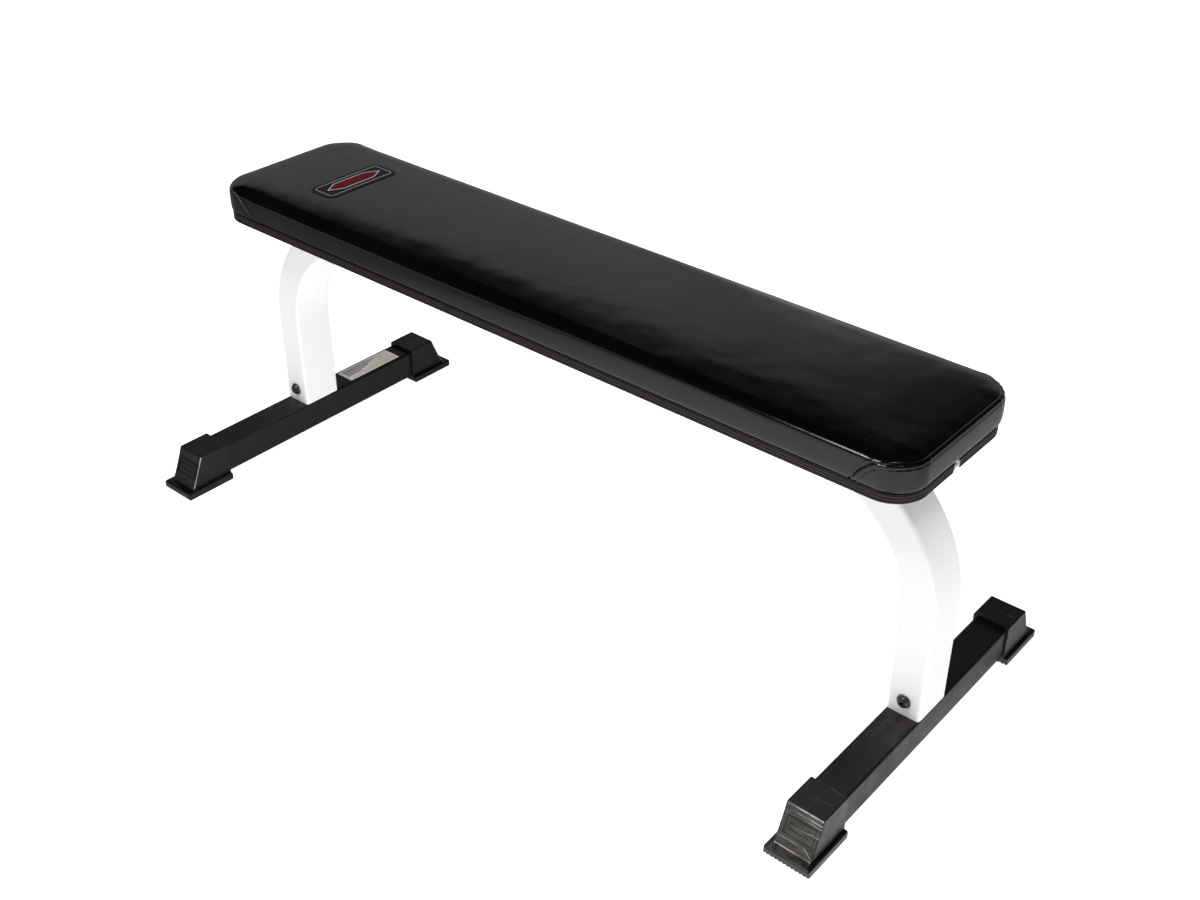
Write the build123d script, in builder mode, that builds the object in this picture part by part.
from build123d import *
import os

# Flat weight bench: a long upholstered pad on one bent rectangular-tube frame, whose two legs slip
# over stubs on two cross feet that end in slip-on rubber boots. Millimetres, +Z up, origin on the
# floor under the middle of the bench, +X along the pad towards its front end, +Y across the bench.

os.makedirs("parts", exist_ok=True)

# ---- driving dimensions --------------------------------------------------------------------------
foot_x = 612.0  # centre of each foot tube and leg, from the middle of the bench

# feet: square tube
foot_tube = 50.0
foot_wall = 2.0
foot_radius = 4.0
foot_bottom = 10.0
foot_mid = foot_bottom + foot_tube / 2
foot_top = foot_bottom + foot_tube
foot_half_length = 258.0

# frame: rectangular tube, its narrow side in the plane of the bends
leg_x = 50.0
leg_y = 70.0
leg_wall = 2.0
leg_radius = 5.0
bend_radius = 195.0  # centreline
spine_top = 439.0
spine_mid = spine_top - leg_x / 2

# one bolt across each leg
bolt_height = 84.0
leg_bolt_r = 5.0
leg_hole_r = leg_bolt_r + 0.5
leg_washer_t = 2.0

# pad plates and the bolts through them
plate_x = 340.0
plate_size_x = 60.0
plate_size_y = 200.0
plate_thickness = 4.0
pad_bolt_y = 80.0
pad_bolt_r = 4.0
pad_hole_r = 4.5
pad_bolt_spots = [(sx * plate_x, sy * pad_bolt_y) for sx in (-1, 1) for sy in (-1, 1)]

# pad layers, from the bottom up
dust_bottom = spine_top + plate_thickness
dust_thickness = 0.6
board_bottom = dust_bottom + dust_thickness
board_thickness = 15.0
board_top = board_bottom + board_thickness
cover_thickness = 1.5
cover_top = 499.5
cover_edge_fillet = 10.0
trim_thickness = 3.0
trim_bottom = 441.0
trim_top = 454.3
wrap_gap = 0.1  # board to cover flap, and flap to trim


def grown(outline, by):
    return tuple(size + by for size in outline)


# pad outlines: half size in X, half size in Y, corner radius
board_outline = (618.3, 123.3, 42.3)
cover_outline = (625.5, 131.5, 48.0)
flap_outline = grown(board_outline, wrap_gap + cover_thickness)
trim_outline = grown(flap_outline, wrap_gap + trim_thickness)

# patch let into the cover's top
patch_centre = (-457.0, 8.0)
patch_size = (54.0, 138.0)
patch_radius = 12.0
patch_depth = 0.8


# ---- shared sketch shapes and planes -------------------------------------------------------------
def outline_face(outline, mode=Mode.ADD):
    half_x, half_y, radius = outline
    RectangleRounded(2 * half_x, 2 * half_y, radius, mode=mode)


def tube_section(width, depth, radius, wall):
    RectangleRounded(width, depth, radius)
    RectangleRounded(width - 2 * wall, depth - 2 * wall, radius - wall, mode=Mode.SUBTRACT)


def facing_x(x, y, z):
    """Plane facing +X, with its own x along +Y and y along +Z."""
    return Plane((x, y, z), x_dir=(0, 1, 0), z_dir=(1, 0, 0))


def facing_y(x, y, z):
    """Plane facing +Y, with its own x along +X and y along -Z."""
    return Plane((x, y, z), x_dir=(1, 0, 0), z_dir=(0, 1, 0))


# ---- frame, feet and stubs -----------------------------------------------------------------------
def make_main_frame():
    with BuildPart() as frame:
        with BuildLine(Plane.XZ) as path:
            FilletPolyline(
                (-foot_x, foot_top),
                (-foot_x, spine_mid),
                (foot_x, spine_mid),
                (foot_x, foot_top),
                radius=bend_radius,
            )
        with BuildSketch(Plane.XY.offset(foot_top)):
            with Locations((-foot_x, 0)):
                tube_section(leg_x, leg_y, leg_radius, leg_wall)
        sweep(path=path.line)
        with BuildSketch(Plane.XZ):
            with Locations((-foot_x, bolt_height), (foot_x, bolt_height)):
                Circle(leg_hole_r)
        extrude(amount=leg_y, both=True, mode=Mode.SUBTRACT)
    return frame.part


def make_foot_tube(x):
    with BuildPart() as tube:
        with BuildSketch(facing_y(x, -foot_half_length, foot_mid)):
            tube_section(foot_tube, foot_tube, foot_radius, foot_wall)
        extrude(amount=2 * foot_half_length)
    return tube.part


stub_gap = 0.5  # to the inside of the leg
stub_wall = 2.5
stub_radius = 3.5
stub_height = 65.0
stub_x = leg_x - 2 * leg_wall - 2 * stub_gap
stub_y = leg_y - 2 * leg_wall - 2 * stub_gap


def make_foot_stub(x):
    with BuildPart() as stub:
        with BuildSketch(Plane.XY.offset(foot_top)):
            with Locations((x, 0)):
                tube_section(stub_x, stub_y, stub_radius, stub_wall)
        extrude(amount=stub_height)
        chamfer(stub.edges().group_by(Axis.Z)[-1], length=0.8)
        with BuildSketch(Plane.XZ):
            with Locations((x, bolt_height)):
                Circle(leg_hole_r)
        extrude(amount=leg_y, both=True, mode=Mode.SUBTRACT)
    return stub.part


# ---- boots: one shape, made for the -Y tube end and mirrored for +Y ------------------------------
boot_length = 89.0
boot_outer_y = -299.0
boot_inner_y = boot_outer_y + boot_length
boot_mid_y = (boot_inner_y + boot_outer_y) / 2
boot_flange_x = 69.0
boot_flange_z = 11.0
boot_body_x = 56.0
boot_body_bottom = 2.0
boot_top = 65.0
slope_bottom_y = boot_outer_y + 12.5
slope_top_y = boot_outer_y + 36.5
slope_mid_y = (slope_top_y + slope_bottom_y) / 2
slope_mid_z = (boot_top + boot_flange_z) / 2
slope_hollow = 1.2  # how far the sloping face bows in at its middle

socket_fit = 0.1  # all round the tube
socket_end_fit = 0.3

tread_count = 11
tread_pitch = 6.0
tread_width = 2.4
tread_depth = 1.6

panel_size = (44.0, 26.0)
panel_rib = 1.5  # width of the raised frame
panel_height = 2.6
panel_bar = (30.0, 1.6)
panel_bar_pitch = 7.4


def make_boot_shape():
    with BuildPart() as body:
        with BuildSketch(Plane.YZ):
            with BuildLine():
                inner = Line((boot_inner_y, boot_body_bottom), (boot_inner_y, boot_top))
                top = Line(inner @ 1, (slope_top_y, boot_top))
                slope = ThreePointArc(
                    top @ 1,
                    (slope_mid_y + slope_hollow, slope_mid_z),
                    (slope_bottom_y, boot_flange_z - 1),
                )
                outer = Line(slope @ 1, (slope_bottom_y, boot_body_bottom))
                Line(outer @ 1, inner @ 0)
            make_face()
        extrude(amount=boot_body_x / 2, both=True)
        # every edge above the flange but those at the open end
        outer_edges = body.edges().filter_by(
            lambda edge: edge.center().Z > 8 and edge.center().Y < boot_inner_y - 1
        )
        fillet(outer_edges, radius=2.0)

    with BuildPart() as shape:
        # flange
        with BuildSketch(Plane.XY):
            with Locations((0, boot_mid_y)):
                RectangleRounded(boot_flange_x, boot_length, 3.0)
        extrude(amount=boot_flange_z)
        fillet(shape.edges().group_by(Axis.Z)[-1], radius=2.6)
        add(body.part)
        # socket for the tube
        with BuildSketch(Plane((0, boot_inner_y, foot_mid), x_dir=(1, 0, 0), z_dir=(0, -1, 0))):
            socket_size = foot_tube + 2 * socket_fit
            RectangleRounded(socket_size, socket_size, foot_radius + socket_fit)
        extrude(amount=foot_half_length + boot_inner_y + socket_end_fit, mode=Mode.SUBTRACT)
        # tread grooves along the length of the sole
        with BuildSketch(Plane.XY):
            with Locations((0, boot_mid_y)):
                with GridLocations(tread_pitch, 1, tread_count, 1):
                    Rectangle(tread_width, boot_length + 10)
        extrude(amount=tread_depth, mode=Mode.SUBTRACT)
        # raised frame and bars on the sloping outer face, starting inside the rubber
        slope_plane = Plane(
            origin=(0, slope_mid_y + 2.2, slope_mid_z - 0.9),
            x_dir=(1, 0, 0),
            z_dir=(0, boot_flange_z - boot_top, slope_top_y - slope_bottom_y),
        )
        with BuildSketch(slope_plane):
            RectangleRounded(*panel_size, 2.5)
            RectangleRounded(
                panel_size[0] - 2 * panel_rib,
                panel_size[1] - 2 * panel_rib,
                1.5,
                mode=Mode.SUBTRACT,
            )
            with GridLocations(1, panel_bar_pitch, 1, 2):
                Rectangle(*panel_bar)
        extrude(amount=panel_height)
    return shape.part


# ---- leg bolts: M10 x 85 button heads at -Y, washers, and lock nuts at +Y ------------------------
leg_bolt_length = 85.0
leg_bolt_tip = 1.0  # chamfer
head_y = -leg_y / 2 - leg_washer_t  # underside of the head
head_r = 8.75
head_h = 5.5
hex_socket_r = 3.0  # half across flats
hex_socket_depth = 3.2

leg_washer_r = 10.5
nut_y = leg_y / 2 + leg_washer_t
nut_hex_r = 8.5  # half across flats
nut_hex_h = 5.5
nut_collar_r = 7.9
nut_collar_h = 2.0
leg_spots = ((-foot_x, 0), (foot_x, 0))  # on a plane facing Y at bolt height


def make_leg_bolt(x):
    tip_y = head_y + leg_bolt_length
    with BuildPart() as bolt:
        with BuildSketch(Plane((x, 0, bolt_height), x_dir=(1, 0, 0), z_dir=(0, 0, 1))):
            with BuildLine():
                crown = Line((0, head_y - head_h), (4.6, head_y - head_h))
                dome = ThreePointArc(crown @ 1, (7.6, head_y - 3.6), (head_r, head_y - 0.8))
                rim = Line(dome @ 1, (head_r, head_y))
                seat = Line(rim @ 1, (leg_bolt_r, head_y))
                shank = Line(seat @ 1, (leg_bolt_r, tip_y - leg_bolt_tip))
                bevel = Line(shank @ 1, (leg_bolt_r - leg_bolt_tip, tip_y))
                tip = Line(bevel @ 1, (0, tip_y))
                Line(tip @ 1, crown @ 0)
            make_face()
        revolve(axis=Axis((x, 0, bolt_height), (0, 1, 0)))
        with BuildSketch(facing_y(x, head_y - head_h, bolt_height)):
            RegularPolygon(hex_socket_r, 6, major_radius=False)
        extrude(amount=hex_socket_depth, mode=Mode.SUBTRACT)
    return bolt.part


def make_leg_bolt_washers():
    with BuildPart() as washers:
        for washer_y in (-leg_y / 2 - leg_washer_t, leg_y / 2):
            with BuildSketch(facing_y(0, washer_y, bolt_height)):
                with Locations(*leg_spots):
                    Circle(leg_washer_r)
                    Circle(leg_bolt_r + 0.25, mode=Mode.SUBTRACT)
            extrude(amount=leg_washer_t)
        circles = washers.edges().filter_by(GeomType.CIRCLE)
        chamfer(circles.filter_by(lambda edge: edge.radius > 10), length=0.4)
    return washers.part


def make_leg_lock_nuts():
    with BuildPart() as nuts:
        with BuildSketch(facing_y(0, nut_y, bolt_height)):
            with Locations(*leg_spots):
                RegularPolygon(nut_hex_r, 6, major_radius=False)
        extrude(amount=nut_hex_h)
        with BuildSketch(facing_y(0, nut_y + nut_hex_h, bolt_height)):
            with Locations(*leg_spots):
                Circle(nut_collar_r)
        extrude(amount=nut_collar_h)
        fillet(nuts.edges().filter_by(GeomType.CIRCLE).group_by(Axis.Y)[-1], radius=1.2)
        chamfer(nuts.edges().filter_by(GeomType.LINE).group_by(Axis.Y)[0], length=0.7)
        with BuildSketch(facing_y(0, nut_y - 1, bolt_height)):
            with Locations(*leg_spots):
                Circle(leg_bolt_r + 0.05)
        extrude(amount=14, mode=Mode.SUBTRACT)
    return nuts.part


# ---- pad plates welded across the top of the frame -----------------------------------------------
def make_pad_plate(x):
    with BuildPart() as plate:
        with BuildSketch(Plane.XY.offset(spine_top)):
            with Locations((x, 0)):
                RectangleRounded(plate_size_x, plate_size_y, 8)
                with GridLocations(1, 2 * pad_bolt_y, 1, 2):
                    Circle(pad_hole_r, mode=Mode.SUBTRACT)
        extrude(amount=plate_thickness)
        circles = plate.edges().filter_by(GeomType.CIRCLE)
        chamfer(circles.filter_by(lambda edge: edge.radius > 7), length=0.4)
    return plate.part


weld_start_y = 30.5
weld_end_y = 40.0
weld_end_inset = 5.0  # from each end of the plate
weld_cut_half_x = 400.0  # reaches past both plates


def make_plate_weld_beads():
    with BuildPart() as beads:
        for x in (-plate_x, plate_x):
            with BuildSketch(facing_x(x, 0, 0)):
                for side in (-1, 1):
                    with BuildLine():
                        top = Line((side * weld_start_y, spine_top), (side * weld_end_y, spine_top))
                        bead = ThreePointArc(
                            top @ 1, (side * 38.2, spine_top - 3.6), (side * 35.0, spine_top - 6.5)
                        )
                        Line(bead @ 1, top @ 0)
                    make_face()
            extrude(amount=plate_size_x / 2 - weld_end_inset, both=True)
        # trim the beads to the outside of the frame tube
        with BuildSketch(facing_x(-weld_cut_half_x, 0, spine_mid)):
            RectangleRounded(leg_y, leg_x, leg_radius)
        extrude(amount=2 * weld_cut_half_x, mode=Mode.SUBTRACT)
    return beads.part


# ---- staples through the dust cover, and their pockets -------------------------------------------
staple_crown = 11.0
staple_width = 1.2
staple_thickness = 0.6
staple_leg = 7.0
staple_leg_size = 0.8
staple_leg_x = 5.1
staple_pitch = 112.0
# x, y, turn about Z in degrees: rows along both sides, then three across each end
staple_spots = [(staple_pitch * i, side * 116.0, 0.0) for i in range(-5, 6) for side in (-1, 1)] + [
    (side * 607.0, y, 90.0) for y in (-70.0, 0.0, 70.0) for side in (-1, 1)
]


def make_staples(grow):
    """All the staples, with every face moved out by grow."""
    with BuildPart() as staples:
        with BuildSketch(Plane.XY.offset(dust_bottom - staple_thickness - grow)):
            for x, y, turn in staple_spots:
                with Locations(Location((x, y, 0), (0, 0, turn))):
                    Rectangle(staple_crown + 2 * grow, staple_width + 2 * grow)
        extrude(amount=staple_thickness + 2 * grow)
        # the legs start inside the crown
        with BuildSketch(Plane.XY.offset(dust_bottom - staple_thickness / 2)):
            for x, y, turn in staple_spots:
                with Locations(Location((x, y, 0), (0, 0, turn))):
                    with Locations((-staple_leg_x, 0), (staple_leg_x, 0)):
                        Rectangle(staple_leg_size + 2 * grow, staple_width + 2 * grow)
        extrude(amount=staple_leg + grow)
    return staples.part


staple_pockets = make_staples(0.05)

# ---- pad board, dust cover, T-nuts ---------------------------------------------------------------
board_hole_r = 5.1
tee_barrel_r = 4.95
tee_flange_r = 9.5
tee_flange_t = 1.4
tee_recess_r = 9.7
tee_recess_depth = 1.5
prong_circle_r = 7.8
prong_size = (1.0, 3.0)
prong_pocket_size = (1.2, 3.2)


def prong_faces(size):
    for spot in pad_bolt_spots:
        with Locations(spot):
            with PolarLocations(prong_circle_r, 4, start_angle=45):
                Rectangle(*size)


def make_pad_board():
    with BuildPart() as board:
        with BuildSketch(Plane.XY.offset(board_bottom)):
            outline_face(board_outline)
        extrude(amount=board_thickness)
        chamfer(board.edges().group_by(Axis.Z)[0], length=0.8)
        with BuildSketch(Plane.XY.offset(board_bottom)):
            with Locations(*pad_bolt_spots):
                Circle(board_hole_r)
        extrude(amount=board_thickness, mode=Mode.SUBTRACT)
        with BuildSketch(Plane.XY.offset(board_top - tee_recess_depth)):
            with Locations(*pad_bolt_spots):
                Circle(tee_recess_r)
        extrude(amount=2, mode=Mode.SUBTRACT)
        with BuildSketch(Plane.XY.offset(board_top - 8.0)):
            prong_faces(prong_pocket_size)
        extrude(amount=7.0, mode=Mode.SUBTRACT)
        add(staple_pockets, mode=Mode.SUBTRACT)
    return board.part


def make_dust_cover():
    with BuildPart() as sheet:
        with BuildSketch(Plane.XY.offset(dust_bottom)):
            outline_face(grown(board_outline, -4))
            with Locations(*pad_bolt_spots):
                Circle(board_hole_r, mode=Mode.SUBTRACT)
        extrude(amount=dust_thickness)
        add(staple_pockets, mode=Mode.SUBTRACT)
    return sheet.part


def make_pad_t_nuts():
    with BuildPart() as nuts:
        with BuildSketch(Plane.XY.offset(board_top - tee_flange_t)):
            with Locations(*pad_bolt_spots):
                Circle(tee_flange_r)
        extrude(amount=tee_flange_t)
        with BuildSketch(Plane.XY.offset(board_bottom + 3)):
            with Locations(*pad_bolt_spots):
                Circle(tee_barrel_r)
        extrude(amount=board_thickness - 3.5)
        with BuildSketch(Plane.XY.offset(board_top - 7.8)):
            prong_faces(prong_size)
        extrude(amount=6.6)
        with BuildSketch(Plane.XY.offset(board_bottom)):
            with Locations(*pad_bolt_spots):
                Circle(pad_bolt_r + 0.05)
        extrude(amount=board_thickness + 1, mode=Mode.SUBTRACT)
    return nuts.part


# ---- pad bolts: M8 x 20 hex, with a spring washer and a flat washer on each head -----------------
flat_washer_r = 8.5
flat_washer_t = 1.6
spring_washer_r = 6.6
spring_washer_t = 2.0
flat_washer_z = spine_top - flat_washer_t
spring_washer_z = flat_washer_z - spring_washer_t
pad_head_r = 6.5  # half across flats
pad_head_h = 5.3
pad_bolt_length = 20.0


def make_pad_flat_washers():
    with BuildPart() as washers:
        with BuildSketch(Plane.XY.offset(flat_washer_z)):
            with Locations(*pad_bolt_spots):
                Circle(flat_washer_r)
                Circle(pad_bolt_r + 0.2, mode=Mode.SUBTRACT)
        extrude(amount=flat_washer_t)
        circles = washers.edges().filter_by(GeomType.CIRCLE)
        chamfer(circles.filter_by(lambda edge: edge.radius > 8), length=0.3)
    return washers.part


def make_pad_spring_washers():
    with BuildPart() as washers:
        with BuildSketch(Plane.XY.offset(spring_washer_z)):
            with Locations(*pad_bolt_spots):
                Circle(spring_washer_r)
                Circle(pad_bolt_r + 0.15, mode=Mode.SUBTRACT)
            # split, on the +X side
            with Locations(*[(x + 5.4, y) for x, y in pad_bolt_spots]):
                Rectangle(3.4, 0.9, mode=Mode.SUBTRACT)
        extrude(amount=spring_washer_t)
    return washers.part


def make_pad_bolts():
    with BuildPart() as bolts:
        with BuildSketch(Plane.XY.offset(spring_washer_z - pad_head_h)):
            with Locations(*pad_bolt_spots):
                RegularPolygon(pad_head_r, 6, major_radius=False)
        extrude(amount=pad_head_h)
        chamfer(bolts.edges().filter_by(GeomType.LINE).group_by(Axis.Z)[0], length=0.6)
        with BuildSketch(Plane.XY.offset(spring_washer_z)):
            with Locations(*pad_bolt_spots):
                Circle(pad_bolt_r)
        extrude(amount=pad_bolt_length)
        chamfer(bolts.edges().filter_by(GeomType.CIRCLE).group_by(Axis.Z)[-1], length=0.8)
    return bolts.part


# ---- foam and cover ------------------------------------------------------------------------------
foam_clear = 0.2  # all round the foam
inner_edge_fillet = cover_edge_fillet - cover_thickness

# seam between main and end panels, (x, z), from the bottom edge up and out past the front end
seam_points = [
    (540.5, 440.0), (553.5, 466.5), (562.5, 479.8), (571.5, 488.2),
    (582.0, 493.0), (598.0, 494.0), (626.0, 490.0), (640.0, 489.5),
]
seam_corner = (640.0, 440.0)  # closes the end region beyond the pad


def make_pad_foam():
    foam_bottom = board_top + foam_clear
    with BuildPart() as foam:
        with BuildSketch(Plane.XY.offset(foam_bottom)):
            outline_face(grown(cover_outline, -cover_thickness - foam_clear))
        extrude(amount=cover_top - cover_thickness - foam_clear - foam_bottom)
        fillet(foam.edges().group_by(Axis.Z)[-1], radius=inner_edge_fillet)
    return foam.part


def make_cover_outside():
    with BuildPart() as outside:
        with BuildSketch(Plane.XY.offset(board_top - cover_thickness)):
            outline_face(cover_outline)
        extrude(amount=cover_top - board_top + cover_thickness)
        fillet(outside.edges().group_by(Axis.Z)[-1], radius=cover_edge_fillet)
        # flap round the board
        with BuildSketch(Plane.XY.offset(board_bottom)):
            outline_face(flap_outline)
        extrude(amount=board_thickness)
    return outside.part


def make_cover_inside():
    with BuildPart() as inside:
        with BuildSketch(Plane.XY.offset(board_top)):
            outline_face(grown(cover_outline, -cover_thickness))
        extrude(amount=cover_top - cover_thickness - board_top)
        fillet(inside.edges().group_by(Axis.Z)[-1], radius=inner_edge_fillet)
        with BuildSketch(Plane.XY.offset(board_bottom - 1)):
            outline_face(grown(flap_outline, -cover_thickness))
        extrude(amount=board_thickness + 1.5)
    return inside.part


def make_end_region():
    """Space of the front end panel, which wraps the end and both long sides up to the seam."""
    with BuildPart() as region:
        with BuildSketch(Plane.XZ):
            with BuildLine():
                seam = Spline(*seam_points)
                end = Line(seam @ 1, seam_corner)
                Line(end @ 1, seam @ 0)
            make_face()
        extrude(amount=200, both=True)
    return region.part


cover_outside = make_cover_outside()
cover_inside = make_cover_inside()
end_region = make_end_region()


def make_cover_main_panel():
    with BuildPart() as panel:
        add(cover_outside)
        add(cover_inside, mode=Mode.SUBTRACT)
        with BuildSketch(Plane.XY.offset(cover_top - patch_depth)):
            with Locations(patch_centre):
                RectangleRounded(*patch_size, patch_radius)
        extrude(amount=patch_depth + 1, mode=Mode.SUBTRACT)
        add(end_region, mode=Mode.SUBTRACT)
        add(end_region.mirror(Plane.YZ), mode=Mode.SUBTRACT)
    return panel.part


def make_cover_end_panel():
    with BuildPart() as panel:
        add(cover_outside)
        add(cover_inside, mode=Mode.SUBTRACT)
        add(end_region, mode=Mode.INTERSECT)
    return panel.part


def make_sewn_patch():
    with BuildPart() as patch:
        with BuildSketch(Plane.XY.offset(cover_top - patch_depth)):
            with Locations(patch_centre):
                RectangleRounded(*patch_size, patch_radius)
        extrude(amount=patch_depth)
    return patch.part


# ---- edge trim: a grooved strip round the board, its ends meeting at the front -------------------
trim_height = trim_top - trim_bottom
groove_heights = (444.4, 448.2, 452.0)
groove_width = 1.0
groove_depth = 0.9
trim_gap = 16.0
trim_gap_mid = -10.0  # y


def on_trim_outside(edge):
    half_x, half_y, radius = trim_outline
    if abs(edge.center().X) > half_x - 0.1 or abs(edge.center().Y) > half_y - 0.1:
        return True
    return edge.geom_type == GeomType.CIRCLE and edge.radius > radius - 0.5


def make_edge_trim():
    with BuildPart() as trim:
        with BuildSketch(Plane.XY.offset(trim_bottom)):
            outline_face(trim_outline)
            outline_face(grown(trim_outline, -trim_thickness), mode=Mode.SUBTRACT)
        extrude(amount=trim_height)
        fillet(trim.edges().group_by(Axis.Z)[-1].filter_by(on_trim_outside), radius=1.2)
        for groove_z in groove_heights:
            with BuildSketch(Plane.XY.offset(groove_z - groove_width / 2)):
                outline_face(grown(trim_outline, 2))
                outline_face(grown(trim_outline, -groove_depth), mode=Mode.SUBTRACT)
            extrude(amount=groove_width, mode=Mode.SUBTRACT)
        with BuildSketch(Plane.XY.offset(trim_bottom - 1)):
            with Locations((trim_outline[0], trim_gap_mid)):
                Rectangle(20, trim_gap)
        extrude(amount=trim_height + 2, mode=Mode.SUBTRACT)
    return trim.part


# steel clip that closes the gap in the trim
clip_x = flap_outline[0] + wrap_gap
clip_z = 447.9
clip_thickness = 0.9
clip_width = trim_gap - 0.6
clip_rib_y = 5.6
clip_boss_r = 2.6


def make_trim_joint_clip():
    with BuildPart() as clip:
        with BuildSketch(facing_x(clip_x, trim_gap_mid, clip_z)):
            RectangleRounded(clip_width, 11.0, 1.5)
        extrude(amount=clip_thickness)
        # two upright ribs with a round boss between them
        with BuildSketch(facing_x(clip_x + clip_thickness, trim_gap_mid, clip_z)):
            with Locations((-clip_rib_y, 0), (clip_rib_y, 0)):
                RectangleRounded(2.0, 10.0, 0.8)
            Circle(clip_boss_r)
        extrude(amount=1.8)
        boss_edges = clip.edges().filter_by(GeomType.CIRCLE).filter_by(
            lambda edge: abs(edge.radius - clip_boss_r) < 0.01
        )
        fillet(boss_edges.group_by(Axis.X)[-1], radius=1.0)
    return clip.part


# ---- label on top of the rear foot ---------------------------------------------------------------
def make_rating_label():
    with BuildPart() as label:
        with BuildSketch(Plane.XY.offset(foot_top)):
            with Locations((-foot_x, 129)):
                RectangleRounded(38, 116, 2)
        extrude(amount=0.3)
    return label.part


# ---- all the pieces, by file name ----------------------------------------------------------------
cover_end_panel = make_cover_end_panel()
pieces = {
    "main_frame": make_main_frame(),
    "leg_bolt_washers": make_leg_bolt_washers(),
    "leg_lock_nuts": make_leg_lock_nuts(),
    "plate_weld_beads": make_plate_weld_beads(),
    "pad_board": make_pad_board(),
    "dust_cover": make_dust_cover(),
    "dust_cover_staples": make_staples(0.0),
    "pad_t_nuts": make_pad_t_nuts(),
    "pad_flat_washers": make_pad_flat_washers(),
    "pad_spring_washers": make_pad_spring_washers(),
    "pad_bolts": make_pad_bolts(),
    "pad_foam": make_pad_foam(),
    "cover_main_panel": make_cover_main_panel(),
    "cover_front_end_panel": cover_end_panel,
    "cover_rear_end_panel": cover_end_panel.mirror(Plane.YZ),
    "edge_trim": make_edge_trim(),
    "trim_joint_clip": make_trim_joint_clip(),
    "rating_label": make_rating_label(),
    "sewn_patch": make_sewn_patch(),
}

# the boots named left are at -Y, those named right at +Y
left_boot = make_boot_shape()
right_boot = left_boot.mirror(Plane.XZ)
for end, sign in (("front", 1), ("rear", -1)):
    x = sign * foot_x
    pieces[f"{end}_foot_tube"] = make_foot_tube(x)
    pieces[f"{end}_foot_stub"] = make_foot_stub(x)
    pieces[f"{end}_left_boot"] = Pos(x, 0, 0) * left_boot
    pieces[f"{end}_right_boot"] = Pos(x, 0, 0) * right_boot
    pieces[f"{end}_leg_bolt"] = make_leg_bolt(x)
    pieces[f"{end}_pad_plate"] = make_pad_plate(sign * plate_x)

for name, piece in pieces.items():
    piece.label = name
    export_step(piece, f"parts/{name}.step")
